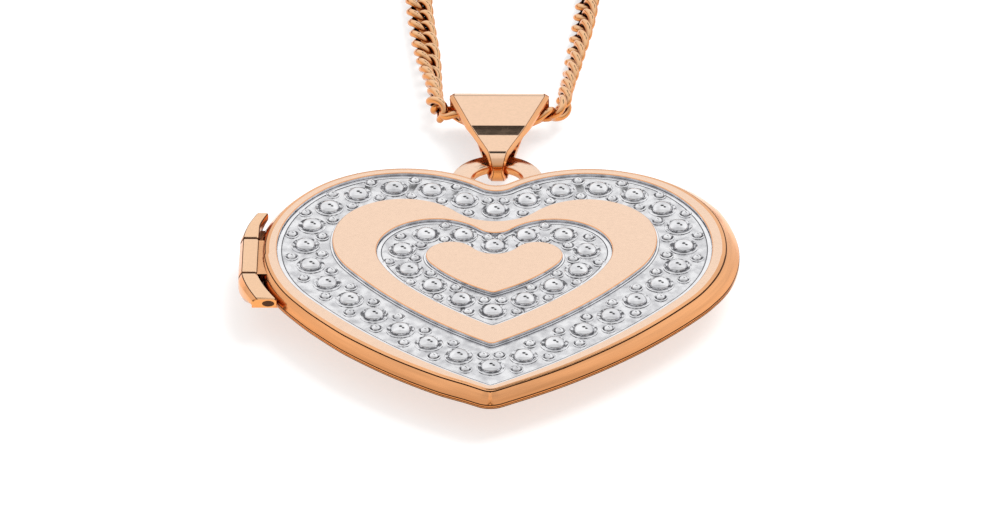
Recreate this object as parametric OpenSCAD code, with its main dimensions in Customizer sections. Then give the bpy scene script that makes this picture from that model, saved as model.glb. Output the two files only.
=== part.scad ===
// Heart locket on a fine curb chain, lying on its back.
// X runs to the right, +Y to the bail, +Z out of the front face; z = 0 is the flat of the back.

/* [Locket] */
// Width of the locket across its seam
locket_w = 19.8; // [18:0.1:22]
// Height of the front face above the floor
face_z = 2.2; // [2.1:0.05:2.3]
// Height of the seam between the two covers
seam_z = 1.64; // [1.6:0.01:1.66]
// Depth of the channels that hold the beaded bands
channel_depth = 0.22; // [0.18:0.01:0.24]
// Metal left under the channels
floor_t = 0.14; // [0.12:0.01:0.16]

/* [Beads] */
// Number of large beads in the outer band
outer_beads = 30; // [20:2:36]
// Number of large beads in the inner band
inner_beads = 14; // [10:2:18]
// Radius of a large bead
bead_r = 0.5; // [0.3:0.05:0.6]
// Height of a large bead
bead_h = 0.22; // [0.15:0.01:0.3]
// Radius of a small bead
grain_r = 0.25; // [0.15:0.01:0.3]
// Height of a small bead
grain_h = 0.16; // [0.1:0.01:0.2]

/* [Hinge] */
// Length of the middle knuckle
knuckle_mid = 2.7; // [2:0.1:3.5]
// Length of each outer knuckle
knuckle_end = 2.1; // [1.5:0.1:3]
// Outer radius of the knuckles
knuckle_r = 0.5; // [0.45:0.01:0.55]
// Radius of the hinge pin
pin_r = 0.2; // [0.15:0.01:0.22]

/* [Bail] */
// Width of the bail at its top fold
bail_w = 4.2; // [3:0.1:5]
// Thickness of the bail's strip
bail_t = 0.24; // [0.2:0.01:0.3]
// Outer diameter of the pendant ring
ring_d = 3.86; // [3.4:0.02:4.2]
// Diameter of the hole in the pendant ring
ring_hole_d = 2.16; // [1.9:0.02:2.4]

/* [Chain] */
// Width of the chain
chain_d = 1.08; // [0.9:0.02:1.2]

/* [Hidden] */
$fn = 48;
rose = "#EFC3A0";
rose_dark = "#D9894F";
white_metal = "#E4E4E6";
clear_sheet = "#DDE8EE";
steel = "#B9BCC0";
big = 60;
eps = 0.01;

// A heart is [lobe x, lobe y, lobe radius, angle where the shoulder starts, shoulder radius,
// angle where the side starts, side radius, cleft radius, tip radius]; three arcs to each half.
face_heart = [3.85, 3.6, 5.25, 42, 6.8, -37, 27, 0.9, 0.5];
band_out = [3.83, 3.62, 4.87, 42, 6.41, -37, 28, 1.0, 0.3];
band_mid = [3.84, 3.6, 3.87, 30, 5.25, -35, 24.6, 1.2, 0.4];
band_in = [3.85, 3.56, 2.87, 18, 4.07, -34, 21.2, 2.2, 0.3];
small_out = [2.47, 2.35, 2.46, -20, 6.1, -41, 19, 0.9, 0.3];
small_mid = [2.13, 2.15, 1.76, -15, 3.0, -38, 13, 0.9, 0.3];
small_in = [1.79, 1.95, 1.06, -10, 1.3, -35, 7, 1.1, 0.2];
// The wall flares out by this much from the face's edge to the seam, for the stated width.
face_half_w = 9.5;
flare = locket_w / 2 - face_half_w;

function polar(r, a) = [r * cos(a), r * sin(a)];
// An arc's points; skip leaves out the first, where another arc has ended.
function arc(c, r, a0, a1, n, skip = 0) = [for (i = [skip:n]) c + polar(r, a0 + (a1 - a0) * i / n)];
// The right half from the cleft to the tip, moved inwards by d; m scales the number of points.
function half_heart(h, d, m) =
    let (
        c1 = [h[0], h[1]],
        c2 = c1 - polar(h[4] - h[2], h[3]),
        c3 = c2 - polar(h[6] - h[4], h[5]),
        tip_r = max(h[8] - d, 0.03),
        cleft = [0, h[1] + sqrt(pow(h[2] + h[7], 2) - h[0] * h[0])],
        tip = [0, c3[1] - sqrt(pow(h[6] - d - tip_r, 2) - c3[0] * c3[0])],
        cleft_end = atan2(h[1] - cleft[1], h[0]),
        side_end = atan2(tip[1] - c3[1], -c3[0])
    )
    concat(
        arc(cleft, h[7] + d, -90, cleft_end, 2 * m),
        arc(c1, h[2] - d, cleft_end + 180, h[3], 6 * m, 1),
        arc(c2, h[4] - d, h[3], h[5], 4 * m, 1),
        arc(c3, h[6] - d, h[5], side_end, 4 * m, 1),
        arc(tip, tip_r, side_end, -90, 2, 1)
    );
function heart(h, d = 0, m = 2) =
    let (half = half_heart(h, d, m), n = len(half))
    concat([for (i = [n - 1:-1:0]) half[i]],
        [for (i = [1:n - 2]) [-half[i][0], half[i][1]]]);
module heart_plate(h, d, z0, z1, m = 2)
{
    translate([0, 0, z0]) linear_extrude(z1 - z0) polygon(heart(h, d, m));
}
// The seam's outline is the face's outline moved out by the flare.
module seam_plate(inset, z0, z1)
{
    heart_plate(face_heart, inset - flare, z0, z1);
}
// A closed shell through the seam's outline, moved in by each level's inset at its height.
module loft(levels)
{
    rings = [for (level = levels) let (pts = heart(face_heart, level[1] - flare))
        [for (p = pts) [p[0], p[1], level[0]]]];
    count = len(rings[0]);
    last = len(levels) - 1;
    points = [for (ring = rings) each ring];
    faces = concat(
        [[for (i = [0:count - 1]) i]],
        [for (k = [0:last - 1]) for (i = [0:count - 1])
            let (j = (i + 1) % count, a = k * count, b = a + count)
            each [[a + i, b + i, b + j], [a + i, b + j, a + j]]],
        [[for (i = [count - 1:-1:0]) last * count + i]]
    );
    polyhedron(points, faces, convexity = 6);
}

/* Hinge */
hinge_x = -10.15;
hinge_y = 1.95;
knuckle_gap = 0.05;
bore_r = pin_r + 0.02;
notch_r = knuckle_r + 0.06;
hinge_len = knuckle_mid + 2 * knuckle_end;
mid_lo = hinge_y - knuckle_mid / 2;
mid_hi = hinge_y + knuckle_mid / 2;
module along_y(y0, y1)
{
    translate([hinge_x, y0, seam_z]) rotate([-90, 0, 0]) linear_extrude(y1 - y0) children();
}
module hinge_notch()
{
    along_y(hinge_y - hinge_len / 2 - 0.1, hinge_y + hinge_len / 2 + 0.1) circle(notch_r);
}
module front_blank()
{
    loft([[seam_z, 0], [seam_z + 0.06, 0.01], [face_z - 0.07, flare - 0.07], [face_z, flare]]);
}
module back_blank()
{
    loft([[0, 4.4], [0.25, 3.4], [0.95, 1.4], [seam_z - 0.19, 0.2], [seam_z - 0.11, 0],
        [seam_z, 0]]);
}
// A leaf joins a knuckle to its cover: it runs from the barrel to the cover's own wall.
module leaf(y0, y1, z0, z1)
{
    translate([hinge_x, y0, z0]) cube([1.9, y1 - y0, z1 - z0]);
}
module barrel(y0, y1)
{
    along_y(y0, y1) circle(knuckle_r);
}
module bore(y0, y1)
{
    along_y(y0 - 0.1, y1 + 0.1) circle(bore_r);
}
// The slanted cut that lets an end knuckle's back follow the heart's outline.
end_wall = 0.28;
module slant(y_in, y_out)
{
    linear_extrude(big, center = true) polygon([[hinge_x - knuckle_r, y_in],
        [hinge_x - end_wall, y_out], [hinge_x - 2, y_out + (y_out - y_in) / 4], [hinge_x - 2, y_in]]);
}
leaf_low = seam_z - 0.34;
leaf_high = face_z - 0.16;
cheek_high = seam_z + 0.34;
cheek_gap = 0.12;
module back_knuckle(y_in, y_out)
{
    lo = min(y_in, y_out);
    hi = max(y_in, y_out);
    difference()
    {
        union()
        {
            barrel(lo, hi);
            leaf(lo, hi, leaf_low, seam_z - 0.02);
            // The cheek fills the space beside the front cover's wall.
            difference()
            {
                leaf(lo, hi, seam_z - 0.02, cheek_high);
                seam_plate(-cheek_gap, seam_z - 1, seam_z + 1);
            }
        }
        slant(y_in, y_out);
        bore(lo, hi);
        difference()
        {
            back_blank();
            hinge_notch();
        }
    }
}

module hinge_knuckle_upper()
{
    color(rose_dark) back_knuckle(mid_hi + knuckle_gap, mid_hi + knuckle_end);
}
module hinge_knuckle_lower()
{
    color(rose_dark) back_knuckle(mid_lo - knuckle_gap, mid_lo - knuckle_end);
}
module hinge_knuckle_middle()
{
    color(rose_dark) difference()
    {
        union()
        {
            barrel(mid_lo, mid_hi);
            leaf(mid_lo, mid_hi, seam_z + 0.02, leaf_high);
        }
        bore(mid_lo, mid_hi);
        difference()
        {
            front_blank();
            hinge_notch();
        }
    }
}
module hinge_pin()
{
    color(rose) along_y(mid_lo - knuckle_end, mid_hi + knuckle_end) circle(pin_r);
}

/* Covers */
wall_t = 0.5;
rim_out = wall_t + 0.04;
rim_in = rim_out + 0.26;
ledge_z = seam_z - 0.16;
ceiling_z = face_z - channel_depth - floor_t;
channel_z = face_z - channel_depth;
module back_cover()
{
    color(rose) difference()
    {
        back_blank();
        seam_plate(rim_out, ledge_z, seam_z + 1);
        loft([[0.35, 3.9], [0.5, 3.3], [1.15, 1.6], [ledge_z + eps, 1.6]]);
        hinge_notch();
    }
}
module front_cover()
{
    color(rose) difference()
    {
        front_blank();
        seam_plate(wall_t, seam_z - 1, ceiling_z);
        band_ring(band_out, band_in, 0, channel_z, face_z + 1);
        band_ring(small_out, small_in, 0, channel_z, face_z + 1);
        hinge_notch();
    }
}
module closing_rim()
{
    color(rose_dark) difference()
    {
        seam_plate(rim_out, ledge_z, seam_z + 0.16);
        seam_plate(rim_in, ledge_z - 1, seam_z + 1);
    }
}

/* Bands and beads */
plate_t = 0.05;
plate_z = channel_z + plate_t;
module band_ring(outside, inside, gap, z0, z1)
{
    difference()
    {
        heart_plate(outside, gap, z0, z1);
        heart_plate(inside, -gap, z0 - 1, z1 + 1);
    }
}
module outer_band()
{
    color(white_metal) band_ring(band_out, band_in, 0.02, channel_z, plate_z);
}
module inner_band()
{
    color(white_metal) band_ring(small_out, small_in, 0.02, channel_z, plate_z);
}
// Points at equal steps along a closed outline that starts at the cleft.
function lengths(pts, i = 0, sum = 0) = i == len(pts) ? [sum]
    : concat([sum], lengths(pts, i + 1, sum + norm(pts[(i + 1) % len(pts)] - pts[i])));
function loop_from_cleft(h) = let (half = half_heart(h, 0, 6), n = len(half))
    concat(half, [for (i = [n - 2:-1:1]) [-half[i][0], half[i][1]]]);
function spot(pts, sums, s) =
    let (
        k = max([for (i = [0:len(pts) - 1]) if (sums[i] <= s) i]),
        p = pts[k],
        q = pts[(k + 1) % len(pts)]
    ) p + (q - p) * (s - sums[k]) / (sums[k + 1] - sums[k]);
// Each place is [point, unit normal]; steps of one half fall between the large beads.
function places(h, n, shift) =
    let (pts = loop_from_cleft(h), sums = lengths(pts), total = sums[len(pts)])
    [for (i = [0:n - 1])
        let (
            s = (i + shift) * total / n,
            step = 0.02,
            v = spot(pts, sums, min(s + step, total - eps)) - spot(pts, sums, max(s - step, 0))
        ) [spot(pts, sums, s), [v[1], -v[0]] / norm(v)]];
// The part of a sphere that stands above the plate.
module dome(r, h)
{
    ball_r = (r * r + h * h) / (2 * h);
    translate([0, 0, plate_z]) intersection()
    {
        translate([0, 0, h - ball_r]) sphere(ball_r, $fn = 24);
        translate([-2 * r, -2 * r, 0]) cube([4 * r, 4 * r, 2 * h]);
    }
}
module large_beads(h, n)
{
    for (place = places(h, n, 0)) translate([place[0][0], place[0][1], 0]) dome(bead_r, bead_h);
}
module small_beads(h, n, reach)
{
    for (place = places(h, n, 0.5))
        for (side = [-1, 1])
        {
            p = place[0] + side * reach * place[1];
            translate([p[0], p[1], 0]) dome(grain_r, grain_h);
        }
}
module outer_large_beads()
{
    color(white_metal) large_beads(band_mid, outer_beads);
}
module outer_small_beads()
{
    color(white_metal) small_beads(band_mid, outer_beads, 0.64);
}
module inner_large_beads()
{
    color(white_metal) large_beads(small_mid, inner_beads);
}
module inner_small_beads()
{
    color(white_metal) small_beads(small_mid, inner_beads, 0.55);
}

/* Photo frames and windows */
frame_gap = rim_in + 0.06;
frame_opening = 2.0;
sheet_t = 0.07;
module photo_frame(z0, z1)
{
    difference()
    {
        seam_plate(frame_gap, z0, z1);
        seam_plate(frame_opening, z0 - 1, z1 + 1);
    }
}
module front_photo_frame()
{
    color(rose) photo_frame(ceiling_z - 0.17, ceiling_z - sheet_t);
}
module back_photo_frame()
{
    color(rose) photo_frame(ledge_z + sheet_t, seam_z - 0.01);
}
module front_window()
{
    color(clear_sheet) seam_plate(frame_gap, ceiling_z - sheet_t, ceiling_z);
}
module back_window()
{
    color(clear_sheet) seam_plate(frame_gap, ledge_z, ledge_z + sheet_t);
}

/* Pendant ring and bail */
ring_y = 9.49;
ring_z = 1.1;
ring_t = 0.4;
pivot_y = ring_y + (ring_d + ring_hole_d) / 4;
bail_low_r = 0.8;
bail_top_r = 0.85;
bail_top_y = 15.15;
bail_foot_w = 0.75;
module pendant_ring()
{
    color(rose) difference()
    {
        translate([0, ring_y, ring_z - ring_t / 2]) cylinder(ring_t, d = ring_d);
        translate([0, ring_y, 0]) cylinder(big, d = ring_hole_d, center = true);
        back_blank();
    }
}
// The side view of the bail: a long loop whose ends are two arcs, d inside the outer one.
function bail_side(d) =
    let (lean = asin((bail_top_r - bail_low_r) / (bail_top_y - pivot_y)))
    concat(arc([pivot_y, ring_z], bail_low_r - d, 90 + lean, 270 - lean, 12),
        arc([bail_top_y, ring_z], bail_top_r - d, -90 - lean, 90 + lean, 12));
bail_back_w = 2.3;
module bail_loop(d, width)
{
    rotate([90, 0, 90]) linear_extrude(width, center = true) polygon(bail_side(d));
}
// The plan of one leg, with its width at the pivot and where it meets the top fold.
module bail_leg(pivot_w, top_w)
{
    foot_y = pivot_y - bail_low_r;
    half = [[bail_foot_w, foot_y - eps], [pivot_w, pivot_y], [top_w, bail_top_y],
        [bail_w, bail_top_y + bail_top_r - bail_t], [bail_w, bail_top_y + 1]];
    polygon(concat([for (p = half) [p.x / 2, p.y]],
        [for (i = [len(half) - 1:-1:0]) [-half[i].x / 2, half[i].y]]));
}
module bail()
{
    color(rose) intersection()
    {
        difference()
        {
            bail_loop(0, bail_w + 1);
            bail_loop(bail_t, bail_w + 2);
        }
        union()
        {
            translate([0, 0, ring_z]) linear_extrude(5) bail_leg(1.7, bail_w);
            translate([0, 0, ring_z - 5]) linear_extrude(5 + eps)
                bail_leg(bail_foot_w + 0.05, bail_back_w);
        }
    }
}

/* Chain */
chain_r = chain_d / 2;
sag_r = 5;
sag_y = 19.65;
sag_half = 27;
module chain_in_bail()
{
    color(rose_dark) translate([0, sag_y, ring_z]) rotate([0, 0, 270 - sag_half])
        rotate_extrude(angle = 2 * sag_half) translate([sag_r, 0]) circle(chain_r, $fn = 24);
}
// The left strand's centre line, from the bail to the coil.
strand = [[-2.32, 15.23, 1.1], [-2.53, 15.4, 1.09], [-2.65, 15.67, 1.06], [-2.7, 16.05, 1.02],
    [-2.72, 16.5, 0.96], [-2.77, 17.2, 0.85], [-2.86, 18.1, 0.7], [-3, 19.3, 0.58],
    [-3.16, 20.8, 0.55], [-3.38, 22.6, 0.55], [-3.58, 24.8, 0.55], [-3.68, 27.2, 0.55],
    [-3.7, 29.8, 0.55], [-3.7, 32.4, 0.55]];
// The left strand's end, from the top of the coil down to the clasp.
strand_end = [[-4.2, 34.2, 1.64], [-3.7, 35.5, 1.64], [-3.35, 36.6, 1.48], [-3.12, 37.7, 1.16],
    [-3.02, 38.8, 0.82], [-3, 39.9, 0.62], [-3, 40.9, 0.6]];
function mirrored(pts) = [for (p = pts) [-p[0], p[1], p[2]]];
function unit(v) = v / norm(v);
// A tube with flat ends and eight sides along a line of points.
module tube(pts, r)
{
    sides = 8;
    last = len(pts) - 1;
    rings = [for (i = [0:last])
        let (
            t = unit(pts[min(i + 1, last)] - pts[max(i - 1, 0)]),
            s = unit(cross(t, [0, 0, 1])),
            u = cross(s, t)
        ) each [for (k = [0:sides - 1]) let (a = (k + 0.5) * 360 / sides)
            pts[i] + r * (cos(a) * s + sin(a) * u)]];
    faces = concat(
        [[for (k = [0:sides - 1]) k]],
        [for (i = [0:last - 1]) for (k = [0:sides - 1])
            let (j = (k + 1) % sides, a = i * sides, b = a + sides)
            each [[a + k, b + k, b + j], [a + k, b + j, a + j]]],
        [[for (k = [sides - 1:-1:0]) last * sides + k]]
    );
    polyhedron(rings, faces, convexity = 4);
}
coil_x = 11.1;
coil_y = 35;
coil_in = 4.6;
coil_out = 8;
coil_h = 2.2;
module coil(side)
{
    translate([side * coil_x, coil_y, 0]) rotate_extrude()
        translate([coil_in, 0]) square([coil_out - coil_in, coil_h]);
}
module chain_left()
{
    color(rose_dark) tube(strand, chain_r);
}
module chain_right()
{
    color(rose_dark) tube(mirrored(strand), chain_r);
}
module chain_left_end()
{
    color(rose_dark) tube(strand_end, chain_r);
}
module chain_right_end()
{
    color(rose_dark) tube(mirrored(strand_end), chain_r);
}
module coil_left()
{
    color(rose_dark) coil(-1);
}
module coil_right()
{
    color(rose_dark) coil(1);
}

/* Clasp */
clasp_x = -3;
clasp_y = 45;
clasp_ring_r = 2.1;
clasp_tube_r = 0.6;
clasp_bore_r = 0.4;
bolt_r = 0.37;
// Angles round the clasp's centre, from +X; the opening is centred on mouth.
mouth = 90;
mouth_half = 24;
seat_depth = 6;
bolt_back = 62;
bore_end = 190;
slot_end = 84;
module at_clasp()
{
    translate([clasp_x, clasp_y, clasp_tube_r]) children();
}
module arc_rod(r, a0, a1)
{
    rotate([0, 0, a0]) rotate_extrude(angle = a1 - a0)
        translate([clasp_ring_r, 0]) circle(r, $fn = 24);
}
module clasp_body()
{
    color(rose) at_clasp() difference()
    {
        arc_rod(clasp_tube_r, mouth + mouth_half, mouth + 360 - mouth_half);
        arc_rod(clasp_bore_r, mouth + mouth_half - 1, mouth + bore_end);
        arc_rod(clasp_bore_r, mouth + 360 - mouth_half - seat_depth, mouth + 361 - mouth_half);
        // The slot that the bolt's knob slides in.
        rotate([0, 0, mouth + mouth_half - 1]) rotate_extrude(angle = slot_end - mouth_half)
            translate([clasp_ring_r, -0.22]) square([1, 0.44]);
    }
}
knob_at = 32;
module clasp_bolt()
{
    color(rose) at_clasp()
    {
        difference()
        {
            arc_rod(bolt_r, mouth - mouth_half - seat_depth + 1, mouth + bolt_back);
            rotate([0, 0, mouth + knob_at]) translate([clasp_ring_r, 0, 0])
                rotate([0, 90, 0]) cylinder(1, r = 0.16, $fn = 24);
        }
        rotate([0, 0, mouth + knob_at]) translate([clasp_ring_r, 0, 0]) rotate([0, 90, 0])
        {
            cylinder(0.72, r = 0.16, $fn = 24);
            translate([0, 0, 0.68]) cylinder(0.24, r = 0.3, $fn = 24);
        }
    }
}
// A round-wire spring that lies bent along the bore, between the bolt and the bore's end.
spring_turns = 12;
spring_r = 0.28;
spring_wire = 0.05;
module clasp_spring()
{
    steps = 10 * spring_turns;
    a0 = mouth + bolt_back + 2;
    a1 = mouth + bore_end - 2;
    color(steel) at_clasp() tube([for (i = [0:steps])
        let (
            a = a0 + (a1 - a0) * i / steps,
            w = 360 * spring_turns * i / steps,
            r = clasp_ring_r + spring_r * cos(w)
        ) [r * cos(a), r * sin(a), spring_r * sin(w)]], spring_wire);
}
module wire_ring(x, y, z, r, wire)
{
    translate([x, y, z]) rotate_extrude() translate([r, 0]) circle(wire, $fn = 24);
}
eye_r = 0.62;
eye_wire = 0.22;
end_ring_r = 0.9;
end_ring_wire = 0.25;
strand_stop = 40.9;
module clasp_eye()
{
    color(rose) wire_ring(clasp_x, strand_stop + eye_r + eye_wire, clasp_tube_r, eye_r, eye_wire);
}
module end_ring()
{
    color(rose) wire_ring(-clasp_x, strand_stop + end_ring_r + end_ring_wire, clasp_tube_r,
        end_ring_r, end_ring_wire);
}

back_cover();
front_cover();
outer_band();
inner_band();
outer_large_beads();
outer_small_beads();
inner_large_beads();
inner_small_beads();
closing_rim();
front_photo_frame();
back_photo_frame();
front_window();
back_window();
hinge_knuckle_upper();
hinge_knuckle_middle();
hinge_knuckle_lower();
hinge_pin();
pendant_ring();
bail();
chain_in_bail();
chain_left();
chain_right();
coil_left();
coil_right();
chain_left_end();
chain_right_end();
clasp_body();
clasp_eye();
clasp_bolt();
clasp_spring();
end_ring();
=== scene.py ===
"""Heart locket on a fine curb chain: the looks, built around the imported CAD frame."""
import math
import bpy
import bmesh
from mathutils import Matrix, Quaternion, Vector


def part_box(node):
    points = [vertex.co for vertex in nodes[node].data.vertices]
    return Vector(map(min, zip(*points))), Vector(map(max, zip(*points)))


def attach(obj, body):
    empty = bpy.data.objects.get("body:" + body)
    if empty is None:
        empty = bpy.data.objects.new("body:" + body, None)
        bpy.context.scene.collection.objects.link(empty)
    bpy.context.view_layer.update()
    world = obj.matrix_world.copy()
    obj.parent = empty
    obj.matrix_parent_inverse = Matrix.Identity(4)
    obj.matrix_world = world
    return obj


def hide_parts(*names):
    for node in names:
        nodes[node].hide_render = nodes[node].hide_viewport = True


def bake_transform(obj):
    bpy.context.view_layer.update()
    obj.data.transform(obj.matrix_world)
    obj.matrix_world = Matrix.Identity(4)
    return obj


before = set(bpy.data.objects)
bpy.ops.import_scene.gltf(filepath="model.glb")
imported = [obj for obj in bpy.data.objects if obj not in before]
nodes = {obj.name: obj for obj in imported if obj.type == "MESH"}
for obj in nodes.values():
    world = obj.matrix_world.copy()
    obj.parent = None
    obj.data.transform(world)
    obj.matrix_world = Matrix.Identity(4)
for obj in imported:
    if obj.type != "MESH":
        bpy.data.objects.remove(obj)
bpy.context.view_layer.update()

MM = 0.001

# ---------------------------------------------------------------- sizes, in millimetres


def low(node, axis):
    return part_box(node)[0][axis] / MM


def high(node, axis):
    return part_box(node)[1][axis] / MM


X, Y, Z = 0, 1, 2
FACE_Z = high("front_cover", Z)
SEAM_Z = low("front_cover", Z)
CHANNEL_Z = low("outer_band", Z)
PLATE_Z = high("outer_band", Z)
CEILING_Z = high("front_window", Z)
RING_TOP = high("pendant_ring", Z)
RING_LOW = low("pendant_ring", Z)
RING_D = high("pendant_ring", X) - low("pendant_ring", X)
RING_Y = high("pendant_ring", Y) - RING_D / 2
RING_HOLE_D = 2.16
BAIL_W = high("bail", X) - low("bail", X)

# ---------------------------------------------------------------- the heart's outlines
# Three arcs to each half, as in the CAD: lobe centre x, y and radius, the angle where the
# shoulder starts and its radius, the angle where the side starts and its radius, then the
# radii of the cleft and of the tip.
FACE = (3.85, 3.6, 5.25, 42, 6.8, -37, 27, 0.9, 0.5)
BAND_OUT = (3.83, 3.62, 4.87, 42, 6.41, -37, 28, 1.0, 0.3)
BAND_MID = (3.84, 3.6, 3.87, 30, 5.25, -35, 24.6, 1.2, 0.4)
BAND_IN = (3.85, 3.56, 2.87, 18, 4.07, -34, 21.2, 2.2, 0.3)
SMALL_OUT = (2.47, 2.35, 2.46, -20, 6.1, -41, 19, 0.9, 0.3)
SMALL_MID = (2.13, 2.15, 1.76, -15, 3.0, -38, 13, 0.9, 0.3)
SMALL_IN = (1.79, 1.95, 1.06, -10, 1.3, -35, 7, 1.1, 0.2)
FLARE = 0.4
OUTLINE_STEPS = 12


def between(stops, at):
    """Straight-line steps through stops of (place, value)."""
    for (a, u), (b, v) in zip(stops, stops[1:]):
        if at <= b:
            return u + (v - u) * max(0.0, (at - a) / (b - a))
    return stops[-1][1]


def polar(radius, degrees):
    a = math.radians(degrees)
    return Vector((radius * math.cos(a), radius * math.sin(a)))


def arc(centre, radius, start, end, steps, skip=0):
    """Points along an arc; skip leaves out the first, where another arc has ended."""
    return [centre + polar(radius, start + (end - start) * i / steps)
            for i in range(skip, steps + 1)]


def half_heart(heart, inset, steps):
    """The right half from the cleft to the tip, moved inwards by inset."""
    lobe_x, lobe_y, lobe_r, shoulder_at, shoulder_r, side_at, side_r, cleft_r, tip_r = heart
    lobe = Vector((lobe_x, lobe_y))
    shoulder = lobe - polar(shoulder_r - lobe_r, shoulder_at)
    side = shoulder - polar(side_r - shoulder_r, side_at)
    tip_r = max(tip_r - inset, 0.03)
    cleft = Vector((0, lobe_y + math.sqrt((lobe_r + cleft_r) ** 2 - lobe_x ** 2)))
    tip = Vector((0, side.y - math.sqrt((side_r - inset - tip_r) ** 2 - side.x ** 2)))
    cleft_end = math.degrees(math.atan2(lobe_y - cleft.y, lobe_x))
    side_end = math.degrees(math.atan2(tip.y - side.y, -side.x))
    return (arc(cleft, cleft_r + inset, -90, cleft_end, 2 * steps)
            + arc(lobe, lobe_r - inset, cleft_end + 180, shoulder_at, 6 * steps, 1)
            + arc(shoulder, shoulder_r - inset, shoulder_at, side_at, 4 * steps, 1)
            + arc(side, side_r - inset, side_at, side_end, 4 * steps, 1)
            + arc(tip, tip_r, side_end, -90, steps // 2, 1))


def outline(heart, inset=0.0, steps=OUTLINE_STEPS):
    """The closed outline, anticlockwise from the tip."""
    half = half_heart(heart, inset, steps)
    return half[::-1] + [Vector((-p.x, p.y)) for p in half[1:-1]]


# How far the border runs out past the even outline, and then the wall past that, by x: the
# lower sides and the right shoulder are fuller than the left one.
BORDER_LOW = [(-10, 0.03), (-9, 0.10), (-7.5, 0.24), (-6, 0.30), (-4, 0.24), (-2, 0.14),
              (-1, 0.04), (1, 0.04), (3, 0.10), (6, 0.12), (9, 0.09), (9.6, 0.11)]
BORDER_HIGH = [(-10, 0.03), (-8, 0.0), (5.5, 0.02), (8, 0.14), (9, 0.15), (9.6, 0.11)]
WALL_LOW = [(-10, 0.0), (-7, 0.0), (-4, 0.05), (-2, 0.08), (0, 0.04), (3, 0.05), (6, 0.11),
            (9, 0.18), (9.6, 0.22)]
WALL_HIGH = [(-10, 0.0), (5.5, 0.04), (8, 0.22), (9, 0.26), (9.6, 0.22)]
LOBE_Y = 2.0


def seam_outline(inset, ridge=0.0, wall=None):
    """The covers' outline, moved in from the seam; ridge pulls the tip out to an edge."""
    even = outline(FACE, inset - FLARE)
    wall = max(0.0, 1 - inset / 3) if wall is None else wall
    fade = max(0.0, 1 - max(0.0, inset - FLARE) / 3)
    points = []
    for i, p in enumerate(even):
        along = even[(i + 1) % len(even)] - even[i - 1]
        border, side = (BORDER_LOW, WALL_LOW) if p.y < LOBE_Y else (BORDER_HIGH, WALL_HIGH)
        extra = between(border, p.x) * fade + between(side, p.x) * wall
        points.append(p + Vector((along.y, -along.x)).normalized() * extra)
    points[0].y -= ridge
    return points


def wall_outline(inset, ridge=0.0):
    return seam_outline(inset, ridge, max(0.0, 1 - inset / FLARE))


def blend_outlines(a, b, weights):
    return [p.lerp(q, w) for p, q, w in zip(a, b, weights)]


# ---------------------------------------------------------------- mesh helpers


def to_object(bm, name, materials, sharp=32):
    """The mesh in bm, in millimetres, as an object in metres with smooth faces and sharp edges."""
    bmesh.ops.recalc_face_normals(bm, faces=bm.faces)
    limit = math.radians(sharp)
    for face in bm.faces:
        face.smooth = True
    for edge in bm.edges:
        edge.smooth = not (len(edge.link_faces) == 2 and edge.calc_face_angle(0) > limit)
    bmesh.ops.scale(bm, vec=(MM, MM, MM), verts=bm.verts)
    mesh = bpy.data.meshes.new(name)
    bm.to_mesh(mesh)
    bm.free()
    for material in materials:
        mesh.materials.append(material)
    obj = bpy.data.objects.new(name, mesh)
    bpy.context.scene.collection.objects.link(obj)
    return obj


def add_ring(bm, points, z):
    return [bm.verts.new((p.x, p.y, z)) for p in points]


def bridge(bm, a, b, material=0):
    """Faces between two closed rings of as many points."""
    n = len(a)
    for i in range(n):
        j = (i + 1) % n
        face = bm.faces.new((a[i], a[j], b[j], b[i]))
        face.material_index = material


def cap(bm, ring, material=0):
    bm.faces.new(ring).material_index = material


def join_round(bm, rings):
    """Bridges each ring to the next one, and the last to the first."""
    for a, b in zip(rings, rings[1:] + rings[:1]):
        bridge(bm, a, b)


def loft(bm, levels, closed=False, caps=(True, True)):
    """A skin through levels of (outline, z, material of the strip that follows)."""
    rings = [add_ring(bm, points, z) for points, z, _ in levels]
    for (a, b), (_, _, material) in zip(zip(rings, rings[1:]), levels):
        bridge(bm, a, b, material)
    if closed:
        bridge(bm, rings[-1], rings[0], levels[-1][2])
        return rings
    if caps[0]:
        cap(bm, rings[0], levels[0][2])
    if caps[1]:
        cap(bm, rings[-1], levels[-1][2])
    return rings


def turns(count):
    """The angles of count equal steps round a circle."""
    return [2 * math.pi * i / count for i in range(count)]


def ring_of(bm, x, y, radius, z, steps):
    return [bm.verts.new((x + radius * math.cos(a), y + radius * math.sin(a), z))
            for a in turns(steps)]


def lathe(bm, centre, profile, steps):
    """A ring turned from a closed profile of (radius, height) points round a centre."""
    rings = [[bm.verts.new(centre + Vector((r * math.cos(a), r * math.sin(a), h)))
              for r, h in profile] for a in turns(steps)]
    join_round(bm, rings)


def rod(bm, x, z, stations, steps):
    """A round bar along y, through stations of (y, radius)."""
    rings = [[bm.verts.new((x + radius * math.cos(a), y, z + radius * math.sin(a)))
              for a in turns(steps)] for y, radius in stations]
    for a, b in zip(rings, rings[1:]):
        bridge(bm, a, b)
    cap(bm, rings[0])
    cap(bm, rings[-1])


def cut(obj, cutter):
    """Takes the cutter out of obj and deletes the cutter."""
    modifier = obj.modifiers.new("cut", "BOOLEAN")
    modifier.operation = "DIFFERENCE"
    modifier.solver = "EXACT"
    modifier.object = cutter
    bpy.context.view_layer.update()
    graph = bpy.context.evaluated_depsgraph_get()
    mesh = bpy.data.meshes.new_from_object(obj.evaluated_get(graph))
    obj.modifiers.clear()
    obj.data = mesh
    bpy.data.objects.remove(cutter)
    return obj


# ---------------------------------------------------------------- materials


def new_material(name):
    material = bpy.data.materials.new(name)
    material.use_nodes = True
    tree = material.node_tree
    return material, tree, tree.nodes["Principled BSDF"]


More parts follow.
